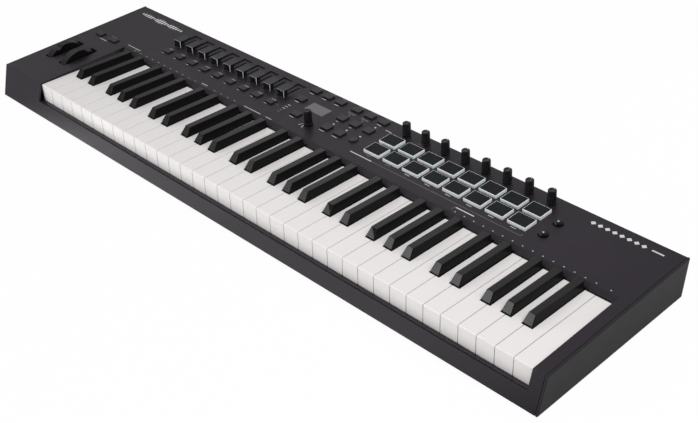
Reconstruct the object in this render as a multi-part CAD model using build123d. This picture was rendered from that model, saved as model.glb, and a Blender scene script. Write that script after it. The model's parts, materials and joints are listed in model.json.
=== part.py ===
from build123d import *
import math
import os

# A 61-key controller keyboard. Millimetres, +Z up, -Y towards the player, bass at -X.
# The origin is the bottom centre of the whole object. The deck slopes up towards the rear.

# ---- driving dimensions ----------------------------------------------------------------
OCTAVE = 165.0                      # width of seven white keys
WHITE_COUNT = 36
WHITE_PITCH = OCTAVE / 7
OCTAVE_COUNT = 5                    # and one more C at the top

CASE_WIDTH = 956.0
FOOT_HEIGHT = 4.0
FRONT_BOTTOM_Y, FRONT_TOP_Y = -129.35, -117.3
REAR_BOTTOM_Y, REAR_TOP_Y = 124.2, 129.35
DECK_HEIGHT = 50.47                 # top of the deck at Y = 0
DECK_TILT = 1.231                   # degrees, rising towards the rear
WALL = 2.5
DECK_THICKNESS = 3.0
SEAM = 0.6                          # open groove beside each end cap
CASE_ROUND = 1.0                    # radius of the outer edges of the case
CAP_THICKNESS = 2.8

KEYS_LEFT = -389.3
KEYS_RIGHT = KEYS_LEFT + WHITE_COUNT * WHITE_PITCH
KEY_TOP_Z = 46.45                   # playing surface at the front edge of the keys
KEY_TOP_DROP = 2.2                  # how much lower the playing surface is at its rear end
KEY_FRONT_Y, KEY_REAR_Y = -115.5, 19.0
KEY_LIP_Z = 22.0                    # lower edge of the front lip of a white key
KEY_GAP = 0.45                      # half of the gap between two white keys
KEY_SKIN, KEY_WALL = 2.2, 1.5
KEY_FRONT_ROUND, KEY_SIDE_ROUND = 1.4, 0.35
KEY_WALL_Z = 30.0                   # lower edge of the side walls of a key
NOTCH_Y = -69.7                     # front edge of the cut-outs for the black keys
BLACK_FRONT_Y = -68.5
BLACK_WIDTH, BLACK_TOP_WIDTH = 12.9, 8.6
BLACK_HEIGHT_FRONT, BLACK_HEIGHT_REAR = 10.3, 8.2
BLACK_SLANT = 7.5                   # how far the front face leans back

PIVOT_Y, PIVOT_Z, PIVOT_RADIUS = 75.0, 31.0, 2.0
RUNNING_CLEARANCE = 0.05
ARM_WIDTH, ARM_BOTTOM_Z, ARM_TOP_Z, ARM_REAR_Y = 10.0, 25.0, 38.0, 84.0

LEDGE_Z = 23.0                      # ledge of the case in front of the white keys
LEDGE_REAR_Y = -116.7
LEDGE_THICKNESS = 2.0
GROOVE_WIDTH, GROOVE_DEPTH = 1.1, 1.2       # along the front of the ledge
CHEEK_WALL_Z, CHEEK_WALL_REAR_Z = 19.0, 40.0    # lower edge of the walls beside the keys
ABOVE_ALL = 80.0                    # cutters that open upwards end here
WELL_GAP = 0.7                      # between the outer keys and the cheeks
DECK_FRONT_Y = 26.0                 # where the deck starts behind the keys

FADER_COUNT, FADER_PITCH, FADER_LEFT = 9, 27.5, -329.5
FADER_REST_Y, FADER_TRAVEL = 86.2, 20.0
FADER_CAP = (13.0, 19.4, 10.4)      # width, length and height above the deck
FADER_LEVER = (1.8, 5.0)
FADER_SLOT_WIDTH, FADER_SLOT_SPARE = 2.6, 9.0
CONTROL_GAP = 0.6                   # between the deck and what moves over it
FADER_RECESS = (17.0, 40.5, 1.6)
FADER_RECESS_Y = 96.2
FADER_BUTTON_Y, FADER_BUTTON = 59.0, (13.8, 11.0)

KNOB_COUNT, KNOB_PITCH, KNOB_LEFT, KNOB_Y = 8, 31.95, 83.6, 114.5
KNOB_RADIUS, KNOB_TAPER, KNOB_HEIGHT = 5.6, 0.4, 18.5
ENCODER_AT, ENCODER_RADIUS, ENCODER_TAPER, ENCODER_HEIGHT = (-28.9, 51.5), 5.7, 0.8, 21.2
ENCODER_SKIRT = 0.5
FLUTES, FLUTE_RADIUS, SHAFT_RADIUS, SHAFT_HOLE_RADIUS = 20, 0.42, 3.0, 3.6

PAD_COLUMNS, PAD_PITCH_X, PAD_LEFT = 8, 31.95, 81.7
PAD_ROWS_Y = {"front": 62.5, "rear": 89.9}
PAD_SIZE, PAD_HEIGHT, PAD_CLEARANCE = (26.0, 21.7), 3.75, 0.5

ROW_BUTTON = (14.3, 10.3)
ROW_BUTTONS_AT = [(x, 117.4) for x in (-83.0, -59.5, -36.0, -6.0, 17.7, 41.3)]
SIDE_BUTTONS_AT = [(-82.8, 89.8), (-59.5, 58.8)]
TRANSPORT_BUTTON = (13.2, 12.0)
TRANSPORT_AT = [(-6.0, 90.4), (17.4, 90.4), (40.8, 90.4), (-5.6, 61.8), (17.6, 61.8)]
RECORD_AT, RECORD_RADIUS = (41.3, 62.3), 6.0
BANK_AT, BANK_RADIUS = [(337.0, 87.5), (337.0, 60.1)], 6.0
OCTAVE_BUTTON = (14.8, 9.5)
OCTAVE_AT = [(-451.0, 27.7), (-418.2, 27.5)]
BUTTON_HEIGHT, BUTTON_CLEARANCE = 2.3, 0.35
RECORD_HEIGHT, BANK_HEIGHT = 2.2, 3.4

DISPLAY_AT, DISPLAY_SIZE = (-47.2, 85.8), (33.5, 19.0)

WHEEL_AT = {"pitch": -450.8, "mod": -417.1}
WHEEL_Y, WHEEL_RADIUS, WHEEL_WIDTH, WHEEL_RISE = -36.5, 34.0, 12.1, 11.0
WHEEL_SLOT, WHEEL_SLOT_Y = (14.8, 58.0), -36.0
WHEEL_AXLE_RADIUS, WHEEL_HUB_RADIUS = 2.5, 6.0
WHEEL_CUT = 3.0                     # the segment ends this far above the axle
NOTCH_RADIUS, NOTCH_DEPTH = 9.0, 2.8
PITCH_NOTCH, MOD_NOTCH = -18.0, 28.0    # degrees that the finger notches lean to the rear at rest
PITCH_LEAN, MOD_LEAN = 0.0, 28.0        # degrees that the whole segments lean to the rear at rest

BOARD_DEPTH, BOARD_THICKNESS = 12.0, 1.6    # under the deck surface
BOARD_LEFT, BOARD_RIGHT, BOARD_FRONT, BOARD_REAR = -352.0, 352.0, 45.0, 116.8
PAD_BOARD_DEPTH = 7.8

JACK_RADIUS, JACK_DEPTH = 3.25, 14.0
SOCKET_Z = 23.0
JACKS_X = (-170.0, -194.0, -218.0)
MIDI_X, USB_X, DC_X, ROCKER_X = -246.0, -276.0, -298.0, -322.0
PLATE_LEFT, PLATE_RIGHT = -336.0, -156.0
PLATE_REAR_Y, PLATE_THICKNESS = 122.4, 2.0
PLATE_BOTTOM_Z, PLATE_TOP_Z = 11.5, 34.5

SCREW_RADIUS, SCREW_HEAD_RADIUS = 1.3, 2.6
SCREW_SEAT_Z, SCREW_TIP_Z = FOOT_HEIGHT + 1.6, 18.0
BOSS_HALF, BOSS_MEET_Z = 2.9, 12.0  # half width of a boss; bosses of the two halves meet at this height
BOSS_SEAM = 0.2                     # play between the two bosses of a pair
REAR_BOSS_DEPTH, FRONT_BOSS_DEPTH = 5.2, 4.8
FLOOR_RIB_HALF, FLOOR_RIB_HEIGHT = 0.9, 1.6
THROUGH = 10.0                      # cutters reach this far through the deck
BITE = 0.5                          # parts that are joined overlap by this much


# ---- helpers ---------------------------------------------------------------------------
def deck_z(y):
    """Height of the deck surface at a depth Y."""
    return DECK_HEIGHT + y * math.tan(math.radians(DECK_TILT))


def on_deck(x, y):
    """Frame on the deck surface: local z is the deck's normal."""
    return Location((x, y, deck_z(y)), (DECK_TILT, 0, 0))


def span(x0, x1, y0, y1, z0, z1):
    """Box between two corners."""
    centre = ((x0 + x1) / 2, (y0 + y1) / 2, (z0 + z1) / 2)
    return Pos(*centre) * Box(x1 - x0, y1 - y0, z1 - z0)


def block(size, z0, z1):
    """Box centred on the local z axis, from z0 to z1."""
    return Pos(0, 0, (z0 + z1) / 2) * Box(size[0], size[1], z1 - z0)


def disc(radius, z0, z1):
    """Cylinder on the local z axis, from z0 to z1."""
    return Pos(0, 0, (z0 + z1) / 2) * Cylinder(radius, z1 - z0)


def prism(points, x0, x1):
    """Outline given in (Y, Z), pulled along X."""
    outline = Plane.YZ.offset(x0) * Polygon(*points, align=None)
    return extrude(outline, amount=x1 - x0, dir=(1, 0, 0))


def rod_x(radius, x0, x1, y, z):
    """Cylinder along X."""
    return Pos((x0 + x1) / 2, y, z) * Rot(0, 90, 0) * Cylinder(radius, x1 - x0)


def bore_y(radius, y0, y1, x, z):
    """Cylinder along Y."""
    return Pos(x, (y0 + y1) / 2, z) * Rot(90, 0, 0) * Cylinder(radius, y1 - y0)


def deck_row(piece, places):
    """Copies of a piece that is drawn on the local deck frame."""
    return [on_deck(x, y) * piece for x, y in places]


def case_outline(inset=0.0):
    """Side view of the case as (Y, Z) points, moved in by an inset."""
    front_lean = (FRONT_TOP_Y - FRONT_BOTTOM_Y) / (deck_z(FRONT_TOP_Y) - FOOT_HEIGHT)
    rear_lean = (REAR_TOP_Y - REAR_BOTTOM_Y) / (deck_z(REAR_TOP_Y) - FOOT_HEIGHT)
    bottom = FOOT_HEIGHT + inset
    points = []
    for lean, start_y, side, z in (
        (front_lean, FRONT_BOTTOM_Y, 1, bottom),
        (rear_lean, REAR_BOTTOM_Y, -1, bottom),
        (rear_lean, REAR_BOTTOM_Y, -1, None),
        (front_lean, FRONT_BOTTOM_Y, 1, None),
    ):
        foot_y = start_y + side * inset * math.hypot(1, lean)
        if z is None:
            slope = math.tan(math.radians(DECK_TILT))
            z = (DECK_HEIGHT - inset + slope * (foot_y - lean * FOOT_HEIGHT)) / (1 - slope * lean)
        points.append((foot_y + lean * (z - FOOT_HEIGHT), z))
    return points


def front_wall_y(z):
    """Outer face of the front wall at a height."""
    (y0, z0), (y1, z1) = case_outline()[0], case_outline()[3]
    return y0 + (y1 - y0) * (z - z0) / (z1 - z0)


parts = {}


def keep(name, solids):
    """Stores a node, which is one solid or a list of separate solids."""
    parts[name] = solids if isinstance(solids, list) else [solids]


# ---- the places that repeat ----------------------------------------------------------------
FADERS_X = [FADER_LEFT + FADER_PITCH * i for i in range(FADER_COUNT)]
KNOBS_X = [KNOB_LEFT + KNOB_PITCH * i for i in range(KNOB_COUNT)]
PADS_X = [PAD_LEFT + PAD_PITCH_X * i for i in range(PAD_COLUMNS)]
FADER_BUTTONS_AT = [(x, FADER_BUTTON_Y) for x in FADERS_X]
INNER_X = CASE_WIDTH / 2 - CAP_THICKNESS - SEAM
REAR_SCREWS_AT = [(x, 116.6) for x in (-465, -372, -98.5, 60, 192, 345, 465)]
FRONT_SCREWS_AT = [(x, -120.3) for x in (-440, -300, -150, 0, 150, 300, 440)]
CHEEK_SCREWS_AT = [(-465.0, 15.0), (-398.5, 60.0)]
FEET_AT = [(x, y) for x in (-440.0, 0.0, 440.0) for y in (-108.0, 106.0)]
FOOT_RADIUS, FOOT_PLAY, FOOT_SEAT = 8.0, 0.2, 0.8
SCREW_PLAY, FLOOR_GAP = 0.3, 0.3
CROSS_RIBS_X, LONG_RIBS_Y, LONG_RIB_END = (-360, -240, -120, 0, 120, 240, 360), (-90, -20, 50), 455
ROUND_BOSS_RADIUS = 4.0
VENT_HALF, VENT_Y = 1.2, (86, 104)
VENTS_X = [x for x in range(-60, 61, 8) if abs(x) > 12]


# ---- case ------------------------------------------------------------------------------
def button_hole(size, clearance=BUTTON_CLEARANCE):
    return block((size[0] + 2 * clearance, size[1] + 2 * clearance), -THROUGH, THROUGH)


def deck_openings():
    """Everything that is cut out of the deck."""
    cuts = []
    slot = block((FADER_SLOT_WIDTH, FADER_TRAVEL + FADER_SLOT_SPARE), -THROUGH, THROUGH)
    slot_y = FADER_REST_Y + FADER_TRAVEL / 2
    recess = block(FADER_RECESS[:2], -FADER_RECESS[2], THROUGH)
    cuts += deck_row(recess, [(x, FADER_RECESS_Y) for x in FADERS_X])
    cuts += deck_row(slot, [(x, slot_y) for x in FADERS_X])
    cuts += deck_row(button_hole(FADER_BUTTON), FADER_BUTTONS_AT)
    cuts += deck_row(button_hole(ROW_BUTTON), ROW_BUTTONS_AT + SIDE_BUTTONS_AT)
    cuts += deck_row(button_hole(TRANSPORT_BUTTON), TRANSPORT_AT)
    cuts += deck_row(button_hole(OCTAVE_BUTTON), OCTAVE_AT)
    round_hole = disc(RECORD_RADIUS + BUTTON_CLEARANCE, -THROUGH, THROUGH)
    cuts += deck_row(round_hole, [RECORD_AT] + BANK_AT)
    shaft_hole = disc(SHAFT_HOLE_RADIUS, -THROUGH, THROUGH)
    cuts += deck_row(shaft_hole, [(x, KNOB_Y) for x in KNOBS_X] + [ENCODER_AT])
    for y in PAD_ROWS_Y.values():
        cuts += deck_row(button_hole(PAD_SIZE, PAD_CLEARANCE), [(x, y) for x in PADS_X])
    cuts += deck_row(block(DISPLAY_SIZE, -THROUGH, THROUGH), [DISPLAY_AT])
    wheel_slot = block(WHEEL_SLOT, -THROUGH, THROUGH)
    cuts += deck_row(wheel_slot, [(x, WHEEL_SLOT_Y) for x in WHEEL_AT.values()])
    return cuts


def fallboard():
    """Bevelled lip between the deck and the rear end of the keys."""
    foot_y, foot_z, lip_z, lip_thickness = 20.3, 46.6, 43.6, 2.0
    join_y = DECK_FRONT_Y + 1.5
    points = [
        (DECK_FRONT_Y, deck_z(DECK_FRONT_Y)),
        (foot_y, foot_z),
        (foot_y, lip_z),
        (foot_y + lip_thickness, lip_z),
        (foot_y + lip_thickness, foot_z - 1.0),
        (join_y, deck_z(DECK_FRONT_Y) - DECK_THICKNESS - 0.4),
        (join_y, deck_z(join_y)),
    ]
    return prism(points, KEYS_LEFT - WELL_GAP, KEYS_RIGHT + WELL_GAP)


def make_top_cover():
    """Deck, cheeks, front and rear walls in one moulding."""
    shell = prism(case_outline(), -INNER_X, INNER_X)
    long_edges = shell.edges().filter_by(Axis.X).sort_by(Axis.Z)
    shell = fillet(long_edges[-2:], CASE_ROUND)
    inner = case_outline(WALL)
    front_bottom, rear_bottom, rear_top, front_top = inner
    extra = DECK_THICKNESS - WALL
    hollow = [
        (front_bottom[0], FOOT_HEIGHT - 1),
        (rear_bottom[0], FOOT_HEIGHT - 1),
        rear_bottom,
        (rear_top[0], rear_top[1] - extra),
        (front_top[0], front_top[1] - extra),
        front_bottom,
    ]
    shell -= prism(hollow, -INNER_X - 1, INNER_X + 1)
    well_left, well_right = KEYS_LEFT - WELL_GAP, KEYS_RIGHT + WELL_GAP
    shell -= span(well_left, well_right, FRONT_BOTTOM_Y - 2, DECK_FRONT_Y, LEDGE_Z, ABOVE_ALL)
    for x0 in (well_left - WALL, well_right):
        cheek = [
            (front_top[0] - BITE, CHEEK_WALL_Z),
            (front_top[0] - BITE, deck_z(front_top[0]) - 1),
            (DECK_FRONT_Y + 1, deck_z(DECK_FRONT_Y) - 1),
            (DECK_FRONT_Y + 1, CHEEK_WALL_REAR_Z),
            (KEY_REAR_Y - 4, CHEEK_WALL_Z),
        ]
        shell += prism(cheek, x0, x0 + WALL)
    ledge_y = front_wall_y(LEDGE_Z) + 1.4
    groove_y = front_wall_y(LEDGE_Z) + 1.3
    groove_ends = (well_left + 0.5, well_right - 0.5)
    shell += span(well_left, well_right, ledge_y, LEDGE_REAR_Y, LEDGE_Z - LEDGE_THICKNESS, LEDGE_Z)
    shell -= span(*groove_ends, groove_y, groove_y + GROOVE_WIDTH, LEDGE_Z - GROOVE_DEPTH, ABOVE_ALL)
    shell += fallboard()
    shell -= deck_openings()
    return shell


def cover_bosses():
    """Screw pillars that hang from the deck at the rear, and from the ledge at the front."""
    pillars = []
    into_deck = 1.5
    for x, y in REAR_SCREWS_AT + CHEEK_SCREWS_AT:
        sides = (x - BOSS_HALF, x + BOSS_HALF, y - REAR_BOSS_DEPTH / 2, y + REAR_BOSS_DEPTH / 2)
        pillars.append(span(*sides, BOSS_MEET_Z, deck_z(y) - into_deck))
    for x, y in FRONT_SCREWS_AT:
        top = LEDGE_Z - 1 if KEYS_LEFT < x < KEYS_RIGHT else deck_z(y) - into_deck
        sides = (x - BOSS_HALF, x + BOSS_HALF, y - FRONT_BOSS_DEPTH / 2, y + FRONT_BOSS_DEPTH / 2)
        pillars.append(span(*sides, BOSS_MEET_Z, top))
    return pillars


def screws_at():
    return REAR_SCREWS_AT + FRONT_SCREWS_AT + CHEEK_SCREWS_AT


def finish_top_cover(cover):
    """Adds the pillars with their pilot holes, and the opening for the connector plate."""
    outside = prism(case_outline(1.2), -INNER_X, INNER_X)
    cover += [pillar & outside for pillar in cover_bosses()]
    cover -= [Pos(x, y, 0) * disc(SCREW_RADIUS + 0.1, 5, 19) for x, y in screws_at()]
    cover -= span(PLATE_LEFT, PLATE_RIGHT, PLATE_REAR_Y - 4, 140, PLATE_BOTTOM_Z, PLATE_TOP_Z)
    return cover


def make_bottom_case():
    """Floor plate with ribs and the bosses that the screws pass through."""
    inner = case_outline(WALL)
    front, rear = inner[0][0] + FLOOR_GAP, inner[1][0] - FLOOR_GAP
    top = FOOT_HEIGHT + WALL
    rib_z = (top - BITE, top + FLOOR_RIB_HEIGHT)
    boss_z = (top - BITE, BOSS_MEET_Z - BOSS_SEAM)
    half = FLOOR_RIB_HALF
    floor = span(-INNER_X, INNER_X, front, rear, FOOT_HEIGHT, top)
    floor += [span(x - half, x + half, front + 9, rear - 7, *rib_z) for x in CROSS_RIBS_X]
    floor += [span(-LONG_RIB_END, LONG_RIB_END, y - half, y + half, *rib_z) for y in LONG_RIBS_Y]
    floor += [Pos(x, y, 0) * disc(ROUND_BOSS_RADIUS, *boss_z) for x, y in CHEEK_SCREWS_AT]
    floor += [span(x - BOSS_HALF, x + BOSS_HALF, y - BOSS_HALF, y + BOSS_HALF, *boss_z)
              for x, y in REAR_SCREWS_AT + FRONT_SCREWS_AT]
    for x, y in screws_at():
        floor -= Pos(x, y, 0) * disc(SCREW_RADIUS + SCREW_PLAY, 0, BOSS_MEET_Z + 8)
        floor -= Pos(x, y, 0) * disc(SCREW_HEAD_RADIUS + SCREW_PLAY, 0, SCREW_SEAT_Z)
    for x, y in FEET_AT:
        floor -= Pos(x, y, 0) * disc(FOOT_RADIUS + FOOT_PLAY, 0, FOOT_HEIGHT + FOOT_SEAT)
    vents = [span(x - VENT_HALF, x + VENT_HALF, *VENT_Y, 0, BOSS_MEET_Z) for x in VENTS_X]
    return floor - vents


PLUG_LENGTH, PLUG_PLAY, PLUG_WALL = 3.0, 0.9, 2.6   # rim of an end cap that fits inside the case


def make_end_cap(side):
    """Moulded cap that closes one end of the case; side is -1 or 1."""
    outer = side * CASE_WIDTH / 2
    face = outer - side * CAP_THICKNESS
    x0, x1 = sorted((outer, face))
    cap = prism(case_outline(), x0, x1)
    rim = cap.faces().sort_by(Axis.X)[0 if side < 0 else -1].edges()
    cap = fillet(rim, CASE_ROUND)
    plug_end = face - side * (SEAM + PLUG_LENGTH)
    p0, p1 = sorted((face, plug_end))
    plug = prism(case_outline(WALL + PLUG_PLAY), p0, p1)
    q0, q1 = sorted((face - side * 0.8, plug_end - side))
    return cap + plug - prism(case_outline(WALL + PLUG_PLAY + PLUG_WALL), q0, q1)


def make_screws():
    """Self-tapping screws, heads at the bottom."""
    cross_length, cross_width, cross_top = 3.0, 0.8, FOOT_HEIGHT + 0.9
    head = disc(SCREW_HEAD_RADIUS, FOOT_HEIGHT + 0.2, SCREW_SEAT_Z)
    shank = disc(SCREW_RADIUS, SCREW_SEAT_Z, SCREW_TIP_Z)
    cross = block((cross_length, cross_width), 0, cross_top)
    cross += block((cross_width, cross_length), 0, cross_top)
    screw = head + shank - cross
    return [Pos(x, y, 0) * screw for x, y in screws_at()]


def make_feet():
    foot = disc(FOOT_RADIUS, 0, FOOT_HEIGHT + FOOT_SEAT - 0.1)
    foot = fillet(foot.edges().group_by(Axis.Z)[0], 0.8)
    return [Pos(x, y, 0) * foot for x, y in FEET_AT]


keep("top_cover", finish_top_cover(make_top_cover()))
keep("bottom_case", make_bottom_case())
keep("end_caps", [make_end_cap(-1), make_end_cap(1)])
keep("case_screws", make_screws())
keep("rubber_feet", make_feet())


# ---- keys ------------------------------------------------------------------------------
NOTES = ["c", "c_sharp", "d", "d_sharp", "e", "f", "f_sharp", "g", "g_sharp", "a", "a_sharp", "b"]
WHITE_NOTES = ["c", "d", "e", "f", "g", "a", "b"]


def key_arm(x):
    """Lever behind the visible part of a key, with the eye that turns on the pivot rod."""
    neck_z = KEY_TOP_Z - KEY_TOP_DROP - 1.5
    outline = [
        (KEY_REAR_Y - 12, neck_z),
        (KEY_REAR_Y - 0.8, neck_z),
        (KEY_REAR_Y - 0.8, 42.0),
        (KEY_REAR_Y + 16, ARM_TOP_Z),
        (ARM_REAR_Y - 2, ARM_TOP_Z - 1),
        (ARM_REAR_Y, ARM_TOP_Z - 4),
        (ARM_REAR_Y, ARM_BOTTOM_Z),
        (ARM_REAR_Y - 20, ARM_BOTTOM_Z),
        (KEY_REAR_Y + 8, ARM_BOTTOM_Z + 2),
        (KEY_REAR_Y - 12, KEY_WALL_Z),
    ]
    arm = prism(outline, x - ARM_WIDTH / 2, x + ARM_WIDTH / 2)
    eye = rod_x(PIVOT_RADIUS + RUNNING_CLEARANCE, x - 10, x + 10, PIVOT_Y, PIVOT_Z)
    return arm - eye


def playing_surface(body):
    """The largest face of a key that looks up."""
    upward = [face for face in body.faces() if face.normal_at().Z > 0.99]
    return max(upward, key=lambda face: face.area)


def white_key(front_left, front_right, tail_left, tail_right, arm_x):
    """A white key from the edges of its wide front part and of its tail."""
    x0, x1 = front_left + KEY_GAP, front_right - KEY_GAP
    t0 = tail_left + KEY_GAP
    t1 = tail_right - KEY_GAP
    outline = span(x0, x1, KEY_FRONT_Y, NOTCH_Y, KEY_LIP_Z, KEY_TOP_Z)
    outline += span(t0, t1, NOTCH_Y - 5, KEY_REAR_Y, KEY_LIP_Z, KEY_TOP_Z)
    slope = [(KEY_FRONT_Y, KEY_TOP_Z), (KEY_REAR_Y, KEY_TOP_Z), (KEY_REAR_Y, KEY_TOP_Z - KEY_TOP_DROP)]
    outline -= prism(slope, min(x0, t0) - 1, max(x1, t1) + 1)
    front_edge = playing_surface(outline).edges().sort_by(Axis.Y)[0]
    body = fillet(front_edge, KEY_FRONT_ROUND)
    side_edges = [e for e in playing_surface(body).edges() if e.center().Y > KEY_FRONT_Y + 2]
    body = fillet(side_edges, KEY_SIDE_ROUND)
    ceiling = KEY_TOP_Z - KEY_TOP_DROP - KEY_SKIN
    lip_y = KEY_FRONT_Y + KEY_SKIN
    body -= span(x0 + KEY_WALL, x1 - KEY_WALL, lip_y, NOTCH_Y - KEY_WALL, 0, ceiling)
    body -= span(t0 + KEY_WALL, t1 - KEY_WALL, NOTCH_Y - 6, KEY_REAR_Y - 14, 0, ceiling)
    body -= span(x0 - 1, x1 + 1, lip_y, KEY_REAR_Y + 1, 0, KEY_WALL_Z)
    return body + key_arm(arm_x)


def black_key():
    """A black key centred on X = 0."""
    base_z = KEY_WALL_Z + 4
    section = [(-BLACK_WIDTH / 2, KEY_TOP_Z - 1), (BLACK_WIDTH / 2, KEY_TOP_Z - 1),
               (BLACK_TOP_WIDTH / 2, KEY_TOP_Z + 12), (-BLACK_TOP_WIDTH / 2, KEY_TOP_Z + 12)]
    face = Plane.XZ.offset(-KEY_REAR_Y) * Polygon(*section, align=None)
    body = extrude(face, amount=KEY_REAR_Y - BLACK_FRONT_Y, dir=(0, -1, 0))
    side_view = [
        (BLACK_FRONT_Y, KEY_TOP_Z - 2),
        (KEY_REAR_Y, KEY_TOP_Z - 2),
        (KEY_REAR_Y, KEY_TOP_Z + BLACK_HEIGHT_REAR),
        (BLACK_FRONT_Y + BLACK_SLANT, KEY_TOP_Z + BLACK_HEIGHT_FRONT),
        (BLACK_FRONT_Y, KEY_TOP_Z + 0.5),
    ]
    body &= prism(side_view, -20, 20)
    upper = [e for e in body.edges() if e.center().Z > KEY_TOP_Z + 4 and e.center().Y < KEY_REAR_Y - 1]
    body = fillet(upper, 0.9)
    skirt = span(-BLACK_WIDTH / 2, BLACK_WIDTH / 2, BLACK_FRONT_Y, KEY_REAR_Y, base_z, KEY_TOP_Z - 1)
    hollow = span(-BLACK_WIDTH / 2 + KEY_WALL, BLACK_WIDTH / 2 - KEY_WALL,
                  BLACK_FRONT_Y + KEY_WALL, KEY_REAR_Y - 14, 0, KEY_TOP_Z + 2)
    return body + skirt - hollow + key_arm(0)


def slot_left(slot):
    """Left edge of a note's share of the rear keyboard: C to E and F to B are each shared out evenly."""
    if slot < 5:
        return slot * 3 * WHITE_PITCH / 5
    return (3 + (slot - 5) * 4 / 7) * WHITE_PITCH


def slot_middle(slot):
    return (slot_left(slot) + slot_left(slot + 1)) / 2


def make_keys():
    """All 61 keys, sorted by note name: a node holds one note in every octave."""
    keys = {note: [] for note in NOTES}
    black = black_key()
    for i, note in enumerate(WHITE_NOTES):
        front = (i * WHITE_PITCH, (i + 1) * WHITE_PITCH)
        slot = NOTES.index(note)
        tail = (slot_left(slot), slot_left(slot + 1))
        shape = white_key(*front, *tail, slot_middle(slot))
        keys[note] = [Pos(KEYS_LEFT + OCTAVE * k, 0, 0) * shape for k in range(OCTAVE_COUNT)]
    for slot, note in enumerate(NOTES):
        if note not in WHITE_NOTES:
            x = KEYS_LEFT + slot_middle(slot)
            keys[note] = [Pos(x + OCTAVE * k, 0, 0) * black for k in range(OCTAVE_COUNT)]
    top_c = white_key(0, WHITE_PITCH, 0, WHITE_PITCH, WHITE_PITCH / 2)
    keys["c"].append(Pos(KEYS_LEFT + OCTAVE_COUNT * OCTAVE, 0, 0) * top_c)
    return keys


for note_name, note_solids in make_keys().items():
    keep("keys_" + note_name, note_solids)


# ---- key bed ---------------------------------------------------------------------------
CHASSIS_Z, CHASSIS_TOP = 8.4, 10.4
STOP_Y = (-88.0, -78.0)
DOWN_FELT_TOP, UP_FELT_TOP, FELT = 21.3, 24.9, 2.0
CONTACT_BOARD_Y = (-24.0, 16.0)
CONTACT_BOARD_Z = 12.4
DOME_Y, DOME_TOP = -6.0, 19.4


def arm_places():
    """X of the lever of every key, low to high."""
    octaves = [KEYS_LEFT + k * OCTAVE for k in range(OCTAVE_COUNT)]
    places = [left + slot_middle(slot) for left in octaves for slot in range(len(NOTES))]
    places.append(KEYS_RIGHT - WHITE_PITCH / 2)
    return places


def make_key_chassis():
    """Plate with the stop bars, key guides and the lugs that hold the pivot rod."""
    left, right = KEYS_LEFT - 0.2, KEYS_RIGHT - 1
    plate = span(left, right, -104, ARM_REAR_Y, CHASSIS_Z, CHASSIS_TOP)
    plate += span(left, right, *STOP_Y, CHASSIS_TOP, DOWN_FELT_TOP - FELT)
    plate += span(left, right, 80.0, ARM_REAR_Y, CHASSIS_TOP, UP_FELT_TOP - FELT)
    guides = [span(x - 2.5, x + 2.5, -100, -92, CHASSIS_TOP, 31)
              for x in (KEYS_LEFT + (i + 0.5) * WHITE_PITCH for i in range(WHITE_COUNT))]
    plate += guides
    bore = rod_x(PIVOT_RADIUS + RUNNING_CLEARANCE, left - 5, right + 5, PIVOT_Y, PIVOT_Z)
    lug_spans = [(left, left + 1.6), (right - 2.0, right)]
    joins = [KEYS_LEFT + k * OCTAVE for k in range(1, OCTAVE_COUNT + 1)]
    lug_spans += [(x - 1.0, x + 1.0) for x in joins]
    lugs = [span(x0, x1, 69, 79, CHASSIS_TOP, 36) for x0, x1 in lug_spans]
    plate += [lug - bore for lug in lugs]
    for y in (-20.0, 12.0):
        plate += [Pos(x, y, 0) * disc(2.5, CHASSIS_TOP, CONTACT_BOARD_Z)
                  for x in (left + 12, -120, 60, 240, right - 12)]
    return plate


def make_contact_strips():
    """Rubber strips, one per octave, with a dome under every key."""
    base_z = CONTACT_BOARD_Z + BOARD_THICKNESS
    dome = Pos(0, 0, (base_z + DOME_TOP) / 2 + 0.5) * Cone(4.2, 2.6, DOME_TOP - base_z - 1)
    arms = arm_places()
    strips = []
    for k in range(OCTAVE_COUNT):
        x0 = KEYS_LEFT + k * OCTAVE + 1.5
        x1 = KEYS_RIGHT - 2 if k == OCTAVE_COUNT - 1 else x0 + OCTAVE - 3
        strip = span(x0, x1, DOME_Y - 6, DOME_Y + 6, base_z, base_z + 1.0)
        strip += [Pos(x, DOME_Y, 0) * dome for x in arms if x0 < x < x1]
        strips.append(strip)
    return strips


def make_key_springs():
    """Leaf spring under the lever of every key."""
    t = 0.4
    foot = CHASSIS_TOP
    leaf = [(66, foot), (57, foot), (31, 22.4), (26, 22.6), (26, 22.6 + t),
            (31, 22.4 + t), (57, foot + t), (66, foot + t)]
    return [prism(leaf, x - 3, x + 3) for x in arm_places()]


def make_felts():
    left, right = KEYS_LEFT + 1, KEYS_RIGHT - 1
    return [
        span(left, right, *STOP_Y, DOWN_FELT_TOP - FELT, DOWN_FELT_TOP),
        span(left, right, 80.0, ARM_REAR_Y, UP_FELT_TOP - FELT, UP_FELT_TOP),
    ]


keep("key_chassis", make_key_chassis())
keep("key_pivot_rod", rod_x(PIVOT_RADIUS, KEYS_LEFT - 0.2, KEYS_RIGHT - 0.5, PIVOT_Y, PIVOT_Z))
keep("key_springs", make_key_springs())
keep("key_stop_felts", make_felts())
keep("key_contact_board", span(KEYS_LEFT + 2, KEYS_RIGHT - 2, *CONTACT_BOARD_Y,
                               CONTACT_BOARD_Z, CONTACT_BOARD_Z + BOARD_THICKNESS))
keep("key_contact_strips", make_contact_strips())


# ---- controls on the deck --------------------------------------------------------------
BOARD_TOP = -BOARD_DEPTH + BOARD_THICKNESS       # in the deck frame
FLANGE_TOP, FLANGE_BOTTOM = -3.3, -4.3
PLUNGER, PLUNGER_END = (3.0, 3.0), -5.2
LEVER_END, SHAFT_END = -9.0, -9.5
POT_SIZE, ENCODER_BODY_SIZE = 9.6, 11.6


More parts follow.
